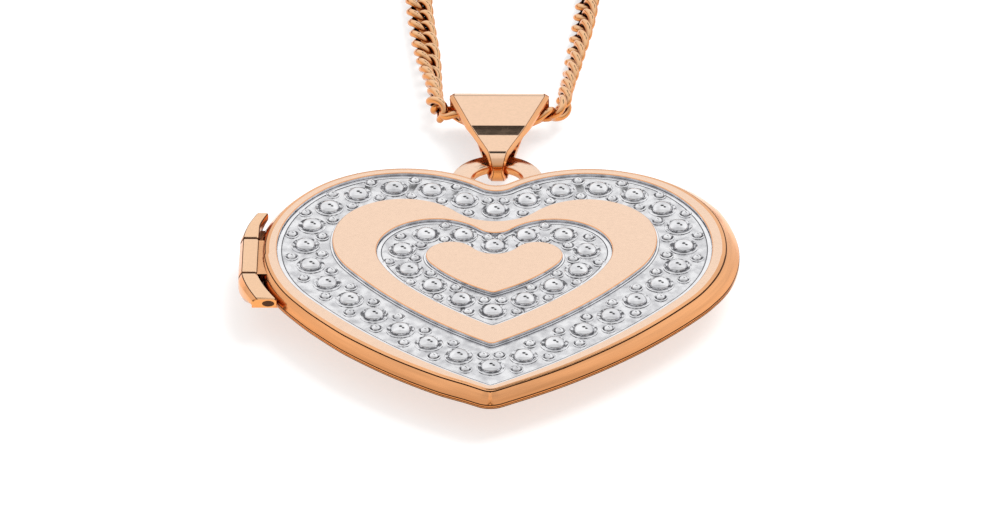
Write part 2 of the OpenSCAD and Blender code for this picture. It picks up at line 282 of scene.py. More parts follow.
def noise(tree, scale, detail=3.0, stretch=(1, 1, 1)):
    """Noise in object space; scale counts its waves to the metre."""
    coords = tree.nodes.new("ShaderNodeTexCoord")
    mapping = tree.nodes.new("ShaderNodeMapping")
    mapping.inputs["Scale"].default_value = stretch
    texture = tree.nodes.new("ShaderNodeTexNoise")
    texture.inputs["Scale"].default_value = scale
    texture.inputs["Detail"].default_value = detail
    tree.links.new(coords.outputs["Object"], mapping.inputs["Vector"])
    tree.links.new(mapping.outputs["Vector"], texture.inputs["Vector"])
    return texture.outputs["Fac"]


def ramp(tree, fac, stops):
    """A colour ramp over fac, through stops of (position, colour)."""
    node = tree.nodes.new("ShaderNodeValToRGB")
    elements = node.color_ramp.elements
    while len(elements) < len(stops):
        elements.new(0.5)
    for element, (position, colour) in zip(elements, stops):
        element.position = position
        element.color = (*colour, 1)
    tree.links.new(fac, node.inputs["Fac"])
    return node.outputs["Color"]


def multiply(tree, a, b):
    mix = tree.nodes.new("ShaderNodeMix")
    mix.data_type = "RGBA"
    mix.blend_type = "MULTIPLY"
    mix.inputs[0].default_value = 1.0
    tree.links.new(a, mix.inputs[6])
    tree.links.new(b, mix.inputs[7])
    return mix.outputs[2]


def grey(value):
    return (value, value, value)


def add_bump(tree, shader, height, distance, strength=1.0):
    bump = tree.nodes.new("ShaderNodeBump")
    bump.inputs["Distance"].default_value = distance
    bump.inputs["Strength"].default_value = strength
    tree.links.new(height, bump.inputs["Height"])
    tree.links.new(bump.outputs["Normal"], shader.inputs["Normal"])


def rose_metal(name, flat, side, roughness, scratch=0.4e-6, wear=0.94, wear_scale=7000,
               wear_stretch=(1, 1, 1)):
    """Polished rose gold with painted light and shade: pale where it faces up out of the piece,
    deeper on its sides.
    """
    material, tree, shader = new_material(name)
    coords = tree.nodes.new("ShaderNodeTexCoord")
    split = tree.nodes.new("ShaderNodeSeparateXYZ")
    tree.links.new(coords.outputs["Normal"], split.inputs["Vector"])
    # Painted light and shade: the colour runs from the shaded side colour to the lit flat colour
    # as the face turns up.
    painted_light_tint = ramp(tree, split.outputs["Z"], [(0.35, side), (0.93, flat)])
    worn = ramp(tree, noise(tree, wear_scale, 6, wear_stretch),
                [(0.3, grey(wear)), (0.7, grey(1.0))])
    tree.links.new(multiply(tree, painted_light_tint, worn), shader.inputs["Base Color"])
    shader.inputs["Metallic"].default_value = 1.0
    rough = ramp(tree, noise(tree, 2600, 5),
                 [(0.3, grey(roughness * 0.8)), (0.8, grey(roughness * 1.35))])
    tree.links.new(rough, shader.inputs["Roughness"])
    add_bump(tree, shader, noise(tree, 5200, 2, (1, 0.16, 1)), scratch)
    return material


def paint_shade_in_crevices(material, reach):
    """Darkens the colour where the piece crowds itself: painted shade in crevices and between
    links.
    """
    tree = material.node_tree
    shader = tree.nodes["Principled BSDF"]
    link = shader.inputs["Base Color"].links[0]
    crowd = tree.nodes.new("ShaderNodeAmbientOcclusion")
    crowd.samples = 6
    crowd.inputs["Distance"].default_value = reach
    # Painted shade: dark brown where the piece hides the sky from itself, full colour elsewhere.
    crevice_painted_shade = ramp(tree, crowd.outputs["AO"], [(0.38, (0.08, 0.03, 0.012)), (0.84, (1, 1, 1))])
    tree.links.new(multiply(tree, link.from_socket, crevice_painted_shade), shader.inputs["Base Color"])
    return material


def white_metal(name, light, dark, roughness, grain, patches=2300, edges=(0.32, 0.62)):
    """Rhodium plate, with a fine cut grain and darker patches."""
    material, tree, shader = new_material(name)
    colour = ramp(tree, noise(tree, patches, 4), [(edges[0], dark), (edges[1], light)])
    tree.links.new(colour, shader.inputs["Base Color"])
    shader.inputs["Metallic"].default_value = 1.0
    rough = ramp(tree, noise(tree, 3400, 3),
                 [(0.3, grey(roughness * 0.7)), (0.8, grey(roughness * 1.4))])
    tree.links.new(rough, shader.inputs["Roughness"])
    add_bump(tree, shader, noise(tree, 4300, 3), grain)
    return material


def painted_shade_line(name, colour, roughness=0.6):
    """Dark colour painted into grooves and fine lines as their shade."""
    material, tree, shader = new_material(name)
    tone = ramp(tree, noise(tree, 3000, 2),
                [(0.3, [c * 0.7 for c in colour]), (0.8, [c * 1.3 for c in colour])])
    tree.links.new(tone, shader.inputs["Base Color"])
    shader.inputs["Metallic"].default_value = 0.6
    shader.inputs["Roughness"].default_value = roughness
    return material


def clear_sheet():
    """The clear sheets over the photos, faintly rubbed."""
    material, tree, shader = new_material("clear_sheet")
    shader.inputs["Base Color"].default_value = (0.93, 0.96, 0.97, 1)
    shader.inputs["Transmission Weight"].default_value = 1.0
    shader.inputs["IOR"].default_value = 1.47
    rough = ramp(tree, noise(tree, 1500, 3), [(0.3, grey(0.02)), (0.8, grey(0.09))])
    tree.links.new(rough, shader.inputs["Roughness"])
    return material


def spring_steel():
    """Drawn wire, with its streaks along z."""
    material, tree, shader = new_material("spring_steel")
    colour = ramp(tree, noise(tree, 4000, 3, (1, 1, 0.2)),
                  [(0.3, grey(0.42)), (0.8, grey(0.6))])
    tree.links.new(colour, shader.inputs["Base Color"])
    shader.inputs["Metallic"].default_value = 1.0
    shader.inputs["Roughness"].default_value = 0.3
    return material


def floor_paper():
    """White paper that glows a little, so that shadows on it stay faint."""
    material, tree, shader = new_material("floor_paper")
    tone = ramp(tree, noise(tree, 60, 3), [(0.3, grey(0.44)), (0.8, grey(0.46))])
    tree.links.new(tone, shader.inputs["Base Color"])
    shader.inputs["Emission Color"].default_value = (1, 1, 1, 1)
    shader.inputs["Emission Strength"].default_value = 0.6
    shader.inputs["Roughness"].default_value = 0.9
    shader.inputs["Specular IOR Level"].default_value = 0.1
    return material


# The rose gold's painted light and shade: pale peach on faces turned up, deep amber on its sides.
PEACH_PAINTED_LIGHT = (0.93, 0.67, 0.50)
AMBER_PAINTED_SHADE = (0.80, 0.36, 0.13)
ROSE = rose_metal("rose_gold", PEACH_PAINTED_LIGHT, AMBER_PAINTED_SHADE, 0.16)
# A slightly deeper copy of the rose gold for the bail: painted shade.
ROSE_BAIL_PAINTED_SHADE = rose_metal("rose_gold_bail_painted_shade", (0.92, 0.63, 0.44), (0.74, 0.30, 0.09), 0.09)
# A darker copy of the rose gold for the hinge: painted shade.
ROSE_HINGE_PAINTED_SHADE = rose_metal("rose_gold_hinge_painted_shade", (0.92, 0.60, 0.38), (0.84, 0.36, 0.12), 0.16)
# A darker copy of the rose gold for walls, bevels, sides and leaves: painted shade, with painted
# shade in its crevices too.
ROSE_SIDE_PAINTED_SHADE = paint_shade_in_crevices(
    rose_metal("rose_gold_side_painted_shade", (0.95, 0.48, 0.23), (0.92, 0.35, 0.11), 0.17, 0.8e-6, 0.78,
               900, (0.25, 0.25, 9)), 0.3 * MM)
# The chain's rose gold, with painted light and shade by facing and painted shade between the
# links.
ROSE_WIRE = paint_shade_in_crevices(
    rose_metal("rose_gold_wire", (0.90, 0.55, 0.31), (0.72, 0.28, 0.08), 0.13), 0.4 * MM)
ROSE_INSIDE = rose_metal("rose_gold_inside", (0.86, 0.60, 0.42), (0.80, 0.48, 0.28), 0.34, 1.5e-6)
WHITE = white_metal("white_gold", (0.90, 0.90, 0.915), (0.80, 0.80, 0.82), 0.14, 0.8e-6)
WHITE_FIELD = white_metal("white_gold_cut", (0.84, 0.84, 0.855), (0.55, 0.55, 0.57), 0.22, 4e-6)
# A darker copy of the white gold for the channels' walls: painted shade.
WHITE_WALL_PAINTED_SHADE = white_metal("white_gold_wall_painted_shade", (0.76, 0.76, 0.79), (0.46, 0.46, 0.48), 0.3, 4e-6)
# Painted shade for the grooves, fine lines and dark rings.
BROWN_PAINTED_SHADE = painted_shade_line("groove_brown_painted_shade", (0.10, 0.035, 0.01))
GREY_PAINTED_SHADE = painted_shade_line("groove_grey_painted_shade", (0.085, 0.085, 0.095))
WHITE_DOME = white_metal("white_gold_dome", (0.88, 0.88, 0.895), (0.64, 0.64, 0.66), 0.1, 0.5e-6)
WHITE_DISH = white_metal("white_gold_dish", (0.80, 0.80, 0.82), (0.13, 0.13, 0.14), 0.26, 2e-6,
                         6500, (0.44, 0.56))
CLEAR = clear_sheet()
STEEL = spring_steel()

# ---------------------------------------------------------------- camera

# The photo shows circles as ellipses 0.525 as high as they are wide.
TILT = math.asin(0.525)
TURN = math.radians(1.1)
LENS_MM = 620
SENSOR_MM = 36
IMAGE_W = 1000
PIXELS_PER_MM = 24.0
AIM = Vector((0.25, 1.33, FACE_Z)) * MM
ROLL = math.radians(0.4)


def add_camera():
    data = bpy.data.cameras.new("camera")
    data.lens = LENS_MM
    data.sensor_width = SENSOR_MM
    data.clip_start = 0.01
    data.clip_end = 100
    camera = bpy.data.objects.new("camera", data)
    bpy.context.scene.collection.objects.link(camera)
    distance = LENS_MM / SENSOR_MM * IMAGE_W / PIXELS_PER_MM * MM
    back = Vector((math.sin(TURN) * math.cos(TILT), -math.cos(TURN) * math.cos(TILT),
                   math.sin(TILT)))
    camera.location = AIM + back * distance
    level = back.to_track_quat("Z", "Y")
    camera.rotation_euler = (level @ Quaternion((0, 0, 1), -ROLL)).to_euler()
    bpy.context.scene.camera = camera


add_camera()

# ---------------------------------------------------------------- chain

# The left strand's centre line from the bail to its coil, as in the CAD, in metres.
STRAND = [(-0.00232, 0.01523, 0.0011), (-0.00253, 0.0154, 0.00109),
          (-0.00265, 0.01567, 0.00106), (-0.0027, 0.01605, 0.00102),
          (-0.00272, 0.0165, 0.00096), (-0.00277, 0.0172, 0.00085),
          (-0.00286, 0.0181, 0.0007), (-0.003, 0.0193, 0.00058), (-0.00316, 0.0208, 0.00055),
          (-0.00338, 0.0226, 0.00055), (-0.00358, 0.0248, 0.00055),
          (-0.00368, 0.0272, 0.00055), (-0.0037, 0.0298, 0.00055), (-0.0037, 0.0324, 0.00055)]
# Its end, from the top of the coil down to the clasp.
STRAND_END = [(-0.0042, 0.0342, 0.00164), (-0.0037, 0.0355, 0.00164),
              (-0.00335, 0.0366, 0.00148), (-0.00312, 0.0377, 0.00116),
              (-0.00302, 0.0388, 0.00082), (-0.003, 0.0399, 0.00062), (-0.003, 0.0409, 0.0006)]
COIL_X = 11.1
COIL_Y = 35.0
COIL_TURNS_LOW = (7.4, 6.3, 5.2)
COIL_TURNS_HIGH = (5.75, 6.85)
COIL_Z_LOW = 0.55
COIL_Z_HIGH = 1.63
LINK_PITCH = 0.9
LINK_WIRE = 0.155
LINK_HALF_LEN = 0.615
LINK_HALF_W = 0.44
LINK_TWIST = 44
# The links inside the bail: their arc's radius, centre y and half angle, and the links' roll.
SAG_R = 5.0
SAG_Y = 19.65
SAG_HALF = 27
SAG_ROLL = -32


def smooth_path(points, step):
    """A Catmull-Rom curve through the points, sampled about every step."""
    result = []
    last = len(points) - 1
    for i in range(last):
        p0, p1 = points[max(i - 1, 0)], points[i]
        p2, p3 = points[i + 1], points[min(i + 2, last)]
        parts = max(1, round((p2 - p1).length / step))
        for k in range(parts):
            t = k / parts
            result.append(0.5 * (2 * p1 + (p2 - p0) * t
                                 + (2 * p0 - 5 * p1 + 4 * p2 - p3) * t * t
                                 + (3 * p1 - p0 - 3 * p2 + p3) * t ** 3))
    return result + [points[-1]]


def ease(t):
    t = min(max(t, 0.0), 1.0)
    return t * t * (3 - 2 * t)


def coil_points():
    """The left coil's turns: inwards on the floor, up, and outwards again on top of them."""
    stations = [(0, COIL_TURNS_LOW[0], COIL_Z_LOW)]
    for k, radius in enumerate(COIL_TURNS_LOW):
        stations.append((k + 0.75, radius, COIL_Z_LOW))
        following = (COIL_TURNS_LOW + COIL_TURNS_HIGH)[k + 1]
        z = COIL_Z_LOW if k + 1 < len(COIL_TURNS_LOW) else COIL_Z_HIGH
        stations.append((k + 1.0, following, z))
    for k, radius in enumerate(COIL_TURNS_HIGH):
        turn = len(COIL_TURNS_LOW) + k
        stations.append((turn + 0.75, radius, COIL_Z_HIGH))
        if k + 1 < len(COIL_TURNS_HIGH):
            stations.append((turn + 1.0, COIL_TURNS_HIGH[k + 1], COIL_Z_HIGH))
    end_turn = len(COIL_TURNS_LOW) + len(COIL_TURNS_HIGH) - 0.06
    stations.append((end_turn, COIL_TURNS_HIGH[-1], COIL_Z_HIGH))
    points = []
    for (t0, r0, z0), (t1, r1, z1) in zip(stations, stations[1:]):
        parts = max(2, round((t1 - t0) * 40))
        for i in range(parts):
            f = i / parts
            a = 360 * (t0 + (t1 - t0) * f)
            p = polar(r0 + (r1 - r0) * ease(f), a)
            points.append(Vector((-COIL_X + p.x, COIL_Y + p.y, z0 + (z1 - z0) * ease(f))))
    return points


def strand_path(side):
    """The whole of one strand in millimetres; side is -1 for the left one."""
    first = [Vector(p) / MM for p in STRAND]
    ending = [Vector(p) / MM for p in STRAND_END]
    points = smooth_path(first + coil_points() + ending, 0.3)
    return [Vector((-side * p.x, p.y, p.z)) for p in points]


def walk(path, distances):
    """For each distance along the path, the point and the direction there."""
    result, total, k = [], 0.0, 0
    for d in distances:
        while k < len(path) - 2 and total + (path[k + 1] - path[k]).length < d:
            total += (path[k + 1] - path[k]).length
            k += 1
        leg = path[k + 1] - path[k]
        result.append((path[k] + leg * ((d - total) / leg.length), leg.normalized()))
    return result


def path_length(path):
    return sum((b - a).length for a, b in zip(path, path[1:]))


def add_link(bm, centre, along, roll, around, sides):
    """One curb link: an oval ring of wire, twisted about its length."""
    across = along.cross(Vector((0, 0, 1))).normalized()
    up = across.cross(along)
    spin = Matrix.Rotation(math.radians(roll), 3, along)
    across, up = spin @ across, spin @ up

    def wire_point(t):
        x, y = LINK_HALF_LEN * math.cos(t), LINK_HALF_W * math.sin(t)
        twist = math.radians(LINK_TWIST) * math.cos(t)
        return (centre + along * x + across * (y * math.cos(twist)) + up * (y * math.sin(twist)))

    rings = []
    for t in turns(around):
        p = wire_point(t)
        tangent = (wire_point(t + 0.01) - wire_point(t - 0.01)).normalized()
        outward = p - centre
        outward = (outward - tangent * outward.dot(tangent)).normalized()
        side = tangent.cross(outward)
        rings.append([bm.verts.new(p + LINK_WIRE * (math.cos(a) * outward + math.sin(a) * side))
                      for a in turns(sides)])
    join_round(bm, rings)


def add_links(bm, path, roll_at, first=0.0, fine_links=16):
    """Links along the path, from first on; the nearest ones, which the photo shows, are finer."""
    count = int((path_length(path) - first) / LINK_PITCH)
    places = walk(path, [first + LINK_PITCH * (i + 0.5) for i in range(count)])
    for i, (point, along) in enumerate(places):
        fine = i < fine_links
        add_link(bm, point, along, roll_at(i), 30 if fine else 14, 12 if fine else 6)


def chain_strand(side, name, nodes, roll_at):
    """One whole strand of links; it replaces the nodes."""
    path = strand_path(side)
    bm = bmesh.new()
    add_links(bm, path, roll_at)
    strand = to_object(bm, name, [ROSE_WIRE], sharp=180)
    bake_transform(strand)
    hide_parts(*nodes)


def left_roll(i):
    """How far link i is rolled about the chain: on edge at the bail, then flat."""
    return 78 - 78 * ease((i - 1) / 7)


def right_roll(i):
    """The same for the right strand, which stays part turned."""
    return -78 + 40 * ease((i - 2) / 8)


chain_strand(-1, "left_strand", ["chain_left", "coil_left", "chain_left_end"], left_roll)
chain_strand(1, "right_strand", ["chain_right", "coil_right", "chain_right_end"],
             right_roll)


def chain_in_bail():
    """The links that hang in the bail's fold, on the CAD's arc."""
    box_low, box_high = (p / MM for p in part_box("chain_in_bail"))
    z = (box_low.z + box_high.z) / 2
    sag = arc(Vector((0, SAG_Y)), SAG_R, 270 - SAG_HALF, 270 + SAG_HALF, 40)
    path = [Vector((p.x, p.y, z)) for p in sag]
    bm = bmesh.new()
    add_links(bm, path, lambda i: SAG_ROLL, first=0.05)
    piece = to_object(bm, "links_in_bail", [ROSE_WIRE], sharp=180)
    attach(piece, "bail")
    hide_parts("chain_in_bail")


chain_in_bail()

# ---------------------------------------------------------------- covers

HINGE_X = (low("hinge_pin", X) + high("hinge_pin", X)) / 2
HINGE_LOW = low("hinge_knuckle_lower", Y)
HINGE_HIGH = high("hinge_knuckle_upper", Y)
KNUCKLE_R = HINGE_X - low("hinge_knuckle_middle", X)
NOTCH_R = KNUCKLE_R + 0.06
WALL_T = 0.5


def notch_cutter():
    """The round bar that takes room for the knuckles out of a cover."""
    bm = bmesh.new()
    rod(bm, HINGE_X, SEAM_Z, [(HINGE_LOW - 0.1, NOTCH_R), (HINGE_HIGH + 0.1, NOTCH_R)], 48)
    return to_object(bm, "notch_cutter", [])


def front_cover():
    """One skin: inside edge, flared wall, face, and the two channels down to their floors."""
    top, edge = FACE_Z, 0.035
    groove = FLARE - 0.06
    bm = bmesh.new()
    # Strip materials: 1 is the painted-shade side colour on the wall and edge bevels, 2 a painted
    # dark shade line in the grooves, 4 the painted-shade channel walls.
    levels = [
        (seam_outline(WALL_T), SEAM_Z, 3),
        (wall_outline(0.03), SEAM_Z, 1),
        (wall_outline(0.0), SEAM_Z + 0.02, 1),
        (wall_outline(0.0), SEAM_Z + 0.05, 2),
        (wall_outline(0.03), SEAM_Z + 0.06, 2),
        (wall_outline(0.03), SEAM_Z + 0.08, 1),
        (wall_outline(0.01), SEAM_Z + 0.10, 1),
        (wall_outline(0.05, 0.06), SEAM_Z + 0.17, 1),
        (wall_outline(0.16, 0.09), SEAM_Z + 0.31, 1),
        (wall_outline(groove - 0.03, 0.09), top - 0.10, 1),
        (wall_outline(groove, 0.05), top - 0.07, 2),
        (wall_outline(groove + 0.045), top - 0.07, 2),
        (wall_outline(groove + 0.035), top - 0.03, 1),
        (wall_outline(groove + 0.06), top - 0.012, 1),
        (wall_outline(FLARE + 0.11), top, 0),
    ]
    for outer, inner in ((BAND_OUT, BAND_IN), (SMALL_OUT, SMALL_IN)):
        levels += [
            (outline(outer, -edge), top, 1),
            (outline(outer, 0.0), top - edge * 0.7, 4),
            (outline(outer, 0.0), CHANNEL_Z, 4),
            (outline(inner, 0.0), CHANNEL_Z, 4),
            (outline(inner, 0.0), top - edge * 0.7, 1),
            (outline(inner, edge), top, 0),
        ]
    rings = loft(bm, levels, caps=(False, True))
    ceiling = add_ring(bm, seam_outline(WALL_T), CEILING_Z)
    bridge(bm, ceiling, rings[0], 3)
    cap(bm, ceiling, 3)
    cover = to_object(bm, "front_cover_skin", [ROSE, ROSE_SIDE_PAINTED_SHADE, BROWN_PAINTED_SHADE, ROSE_INSIDE, WHITE_WALL_PAINTED_SHADE])
    cut(cover, notch_cutter())
    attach(cover, "front")
    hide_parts("front_cover")


def back_cover():
    """The rim with its fine double line, the shallow dome and the well for a photo."""
    rim_out = 0.54
    seam = SEAM_Z
    bm = bmesh.new()
    # Strip material 1 paints the fine double line's dark shade.
    levels = [
        (seam_outline(rim_out), seam - 0.16, 2),
        (seam_outline(rim_out), seam - 0.005, 0),
        (seam_outline(0.05), seam - 0.005, 1),
        (seam_outline(0.045), seam - 0.02, 0),
        (seam_outline(0.0), seam - 0.035, 0),
        (seam_outline(0.0), seam - 0.055, 1),
        (seam_outline(0.035), seam - 0.065, 1),
        (seam_outline(0.035), seam - 0.075, 0),
        (seam_outline(0.0), seam - 0.09, 0),
        (seam_outline(0.02), seam - 0.115, 0),
        (seam_outline(0.2), seam - 0.19, 0),
        (seam_outline(1.4), 0.95, 0),
        (seam_outline(2.4), 0.56, 0),
        (seam_outline(3.4), 0.25, 0),
        (seam_outline(4.0), 0.09, 0),
        (seam_outline(4.4), 0.0, 0),
    ]
    rings = loft(bm, levels, caps=(False, True))
    well = [(1.6, seam - 0.16), (1.6, 1.15), (3.3, 0.5), (3.9, 0.35)]
    inner = [add_ring(bm, seam_outline(inset), z) for inset, z in well]
    bridge(bm, rings[0], inner[0], 2)
    for a, b in zip(inner, inner[1:]):
        bridge(bm, a, b, 2)
    cap(bm, inner[-1], 2)
    cover = to_object(bm, "back_cover_skin", [ROSE, BROWN_PAINTED_SHADE, ROSE_INSIDE])
    cut(cover, notch_cutter())
    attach(cover, "back")
    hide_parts("back_cover")


front_cover()
back_cover()

# ---------------------------------------------------------------- bands and beads

BORDER_W = 0.19
BORDER_RISE = 0.04
SCALLOP = 0.1
SCALLOP_HALF = 0.24
DOME_STEPS = 9


def band(name, outer, inner, node, grains):
    """A channelled strip: a bright border outside a step that dips in at each small bead."""
    field = PLATE_Z
    rim = PLATE_Z + BORDER_RISE

    def step(extra):
        near = outline(outer, BORDER_W + extra)
        far = outline(outer, BORDER_W + SCALLOP + extra)
        weights = [sum(math.exp(-((p - g).length / SCALLOP_HALF) ** 4) for g in grains)
                   for p in near]
        return blend_outlines(near, far, [min(w, 1.0) for w in weights])

    bm = bmesh.new()
    # Material 2 paints dark shade on the strip down from the border's step and on the rise at the
    # field's inner edge.
    levels = [
        (outline(outer, 0.02), CHANNEL_Z, 0),
        (outline(outer, 0.02), rim - 0.015, 0),
        (outline(outer, 0.035), rim, 0),
        (step(0.0), rim, 2),
        (step(0.04), rim - 0.006, 1),
        (step(0.07), field + 0.01, 1),
        (outline(inner, -0.11), field, 2),
        (outline(inner, -0.09), field + 0.02, 0),
        (outline(inner, -0.02), field + 0.03, 0),
        (outline(inner, -0.02), CHANNEL_Z, 0),
    ]
    loft(bm, levels, closed=True)
    piece = to_object(bm, name, [WHITE, WHITE_FIELD, GREY_PAINTED_SHADE])
    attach(piece, "front")
    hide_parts(node)


def places(heart, count, shift):
    """Points and normals at equal steps along an outline, from the cleft."""
    half = half_heart(heart, 0, 24)
    line = half + [Vector((-p.x, p.y)) for p in half[-2::-1]]
    total = path_length(line)
    found = walk(line, [(i + shift) * total / count for i in range(count)])
    return [(point, Vector((along.y, -along.x))) for point, along in found]


def add_bead(bm, x, y, radius, height, dish, steps):
    """A dome in a cut dish: collar, slope down, a dark line painted as the shade round the dome's
    foot, then the dome itself.
    """
    z = PLATE_Z
    profile = [(dish, z - 0.015, 2), (dish, z + 0.03, 0), (dish - 0.035, z + 0.06, 2),
               (radius + 0.025, z + 0.02, 1), (radius, z + 0.02, 0)]
    for i in range(1, DOME_STEPS):
        a = math.pi / 2 * i / DOME_STEPS
        profile.append((radius * math.cos(a), z + 0.02 + (height - 0.02) * math.sin(a), 0))
    rings = [ring_of(bm, x, y, r, h, steps) for r, h, _ in profile]
    for a, b, (_, _, material) in zip(rings, rings[1:], profile):
        bridge(bm, a, b, material)
    top = bm.verts.new((x, y, z + height))
    crown = rings[-1]
    for k in range(steps):
        bm.faces.new((crown[k], crown[(k + 1) % steps], top))
    cap(bm, rings[0])


def beads(name, node, spots, radius, height, dish, steps):
    """A bead at each of the spots, all in one piece."""
    bm = bmesh.new()
    for x, y in spots:
        add_bead(bm, x, y, radius, height, dish, steps)
    piece = to_object(bm, name, [WHITE_DOME, GREY_PAINTED_SHADE, WHITE_DISH], sharp=38)
    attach(piece, "front")
    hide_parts(node)


def beaded_band(prefix, outer, middle, inner, count, reach):
    """A band with a row of large beads, and a pair of small ones in each gap between them."""
    large = [(p.x, p.y) for p, _ in places(middle, count, 0)]
    small = []
    for p, normal in places(middle, count, 0.5):
        small += [p + normal * reach, p - normal * reach]
    band(prefix + "_band_strip", outer, inner, prefix + "_band", small)
    beads(prefix + "_beads", prefix + "_large_beads", large, 0.42, 0.3, 0.6, 40)
    beads(prefix + "_grains", prefix + "_small_beads", small, 0.19, 0.18, 0.29, 24)


beaded_band("outer", BAND_OUT, BAND_MID, BAND_IN, 30, 0.64)
beaded_band("inner", SMALL_OUT, SMALL_MID, SMALL_IN, 14, 0.55)

# ---------------------------------------------------------------- hinge

KNUCKLE_IN = 0.33
KNUCKLE_GAP = 0.14
# The outer knuckles turn in with the cover towards their far ends, and thin out there.
TURN_IN = 0.62
THIN_END = 0.46
# The middle knuckle's lower inner corner reaches out under its leaf.
TOE_CORNER = 7
TOE_REACH = 0.21
LEAF_REACH = 0.35
LEAF_SHORT = 0.3
BACK_LEAF = (SEAM_Z - 0.34, SEAM_Z - 0.02)
FRONT_LEAF = (SEAM_Z + 0.03, FACE_Z - 0.16)
# The dark disc on an outer knuckle's end, painted as the shade in its mouth: its place and size,
# the first two in half widths.
MOUTH_IN = 0.3
MOUTH_HALF_W = 0.52
MOUTH_DROP = 0.25
MOUTH_HALF_H = 0.14
MOUTH_PROUD = 0.004
PIN_SHORT = 0.9


def cover_side(y):
    """The left edge of the covers' seam at y."""
    points = seam_outline(0)
    return min(a.x + (b.x - a.x) * (y - a.y) / (b.y - a.y)
               for a, b in zip(points, points[1:] + points[:1])
               if a.y != b.y and (a.y - y) * (b.y - y) <= 0)


def leaf(bm, y0, y1, z0, z1):
    """The plate that joins a knuckle to its cover."""
    lowest, highest = min(y0, y1) + 0.02, max(y0, y1) - 0.02
    inner = HINGE_X + 0.1
    corners = [Vector((inner, lowest))]
    for i in range(7):
        y = lowest + (highest - lowest) * i / 6
        corners.append(Vector((cover_side(y) + LEAF_REACH, y)))
    corners.append(Vector((inner, highest)))
    # The leaf is all in the painted-shade side colour.
    loft(bm, [(corners, z0, 1), (corners, z1, 1)])


# Across a knuckle, as parts of its half width and half height, with each strip's material: 1 the
# painted-shade side colour, 2 a painted dark shade line.
KNUCKLE_SECTION = [(-0.58, 1.0, 2), (-0.67, 0.96, 1), (-0.96, 0.5, 0), (-1.0, 0.3, 0),
                   (-1.0, -0.4, 0), (-0.7, -0.95, 0), (0.7, -0.95, 0), (1.0, -0.4, 1),
                   (1.0, 0.5, 1), (0.94, 0.76, 2), (0.84, 0.94, 0), (0.7, 1.0, 0)]


def knuckle(name, node, body, y0, y1, turn_in, z0, z1):
    """A flattened bar from y0 to y1 and its leaf; its far end turns in with the cover."""
    stations = [(0.0, 0.05), (0.02, 0.01), (0.05, 0.0)]
    stations += [(0.05 + 0.9 * i / 8, 0.0) for i in range(1, 8)]
    stations += [(0.95, 0.0), (0.98, 0.01), (1.0, 0.05)]
    bm = bmesh.new()
    rings = []
    for f, shrink in stations:
        y = y0 + (y1 - y0) * f
        x_out = HINGE_X - KNUCKLE_R + turn_in * f ** 1.5
        x_in = HINGE_X + KNUCKLE_IN
        if turn_in:
            x_in = max(x_in, cover_side(y) - KNUCKLE_GAP)
        middle = (x_out + x_in) / 2
        reach = (x_in - x_out) / 2 - shrink
        top = SEAM_Z + KNUCKLE_R - shrink
        thin = ease((f - 0.2) / 0.8) if turn_in else 0
        depth = 2 * (KNUCKLE_R - shrink) * (1 - thin) + (THIN_END - shrink) * thin
        rings.append([bm.verts.new((middle + reach * u, y, top - depth * (1 - v) / 2))
                      for u, v, _ in KNUCKLE_SECTION])
        if not turn_in:
            rings[-1][TOE_CORNER].co.x += TOE_REACH
    count = len(KNUCKLE_SECTION)
    for k, (a, b) in enumerate(zip(rings, rings[1:])):
        for i in range(count):
            face = bm.faces.new((a[i], a[(i + 1) % count], b[(i + 1) % count], b[i]))
            # The first strip round the near end is a painted dark shade line.
            face.material_index = 2 if k == 0 else KNUCKLE_SECTION[i][2]
    cap(bm, rings[0], 0)
    cap(bm, rings[-1], 0)
    leaf(bm, y0, y1 - LEAF_SHORT * (y1 - y0) if turn_in else y1, z0, z1)
    if turn_in:
        proud = y1 + math.copysign(MOUTH_PROUD, y1 - y0)
        centre = middle + reach * MOUTH_IN
        # A dark disc just proud of the end: painted shade for the mouth.
        mouth = [bm.verts.new((centre + reach * MOUTH_HALF_W * math.cos(t), proud,
                               SEAM_Z + KNUCKLE_R - MOUTH_DROP + MOUTH_HALF_H * math.sin(t)))
                 for t in turns(32)]
        cap(bm, mouth, 2)
    piece = to_object(bm, name, [ROSE_HINGE_PAINTED_SHADE, ROSE_SIDE_PAINTED_SHADE, BROWN_PAINTED_SHADE], sharp=20)
    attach(piece, body)
    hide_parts(node)


def hinge():
    """The outer knuckles on the back cover and the middle one on the front cover."""
    for name, node, near, far in (
            ("upper_knuckle", "hinge_knuckle_upper", low("hinge_knuckle_upper", Y), HINGE_HIGH),
            ("lower_knuckle", "hinge_knuckle_lower", high("hinge_knuckle_lower", Y), HINGE_LOW)):
        short = far + math.copysign(0.02, near - far)
        knuckle(name, node, "back", near, short, TURN_IN, *BACK_LEAF)
    lo, hi = low("hinge_knuckle_middle", Y), high("hinge_knuckle_middle", Y)
    knuckle("middle_knuckle", "hinge_knuckle_middle", "front", lo, hi, 0, *FRONT_LEAF)


def hinge_pin():
    """The pin, with domed ends that stop inside the outer knuckles."""
    radius = (high("hinge_pin", X) - low("hinge_pin", X)) / 2
    middle = (HINGE_LOW + HINGE_HIGH) / 2
    half = (HINGE_HIGH - HINGE_LOW) / 2 - PIN_SHORT
    stations = [(-half, 0.5), (-half + 0.05, 0.85), (-half + 0.12, 1.0),
                (half - 0.12, 1.0), (half - 0.05, 0.85), (half, 0.5)]
    bm = bmesh.new()
    rod(bm, HINGE_X, SEAM_Z, [(middle + y, radius * part) for y, part in stations], 24)
    piece = to_object(bm, "hinge_pin_turned", [ROSE_INSIDE], sharp=40)
    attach(piece, "back")
    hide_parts("hinge_pin")


hinge()
hinge_pin()

# ---------------------------------------------------------------- pendant ring and bail


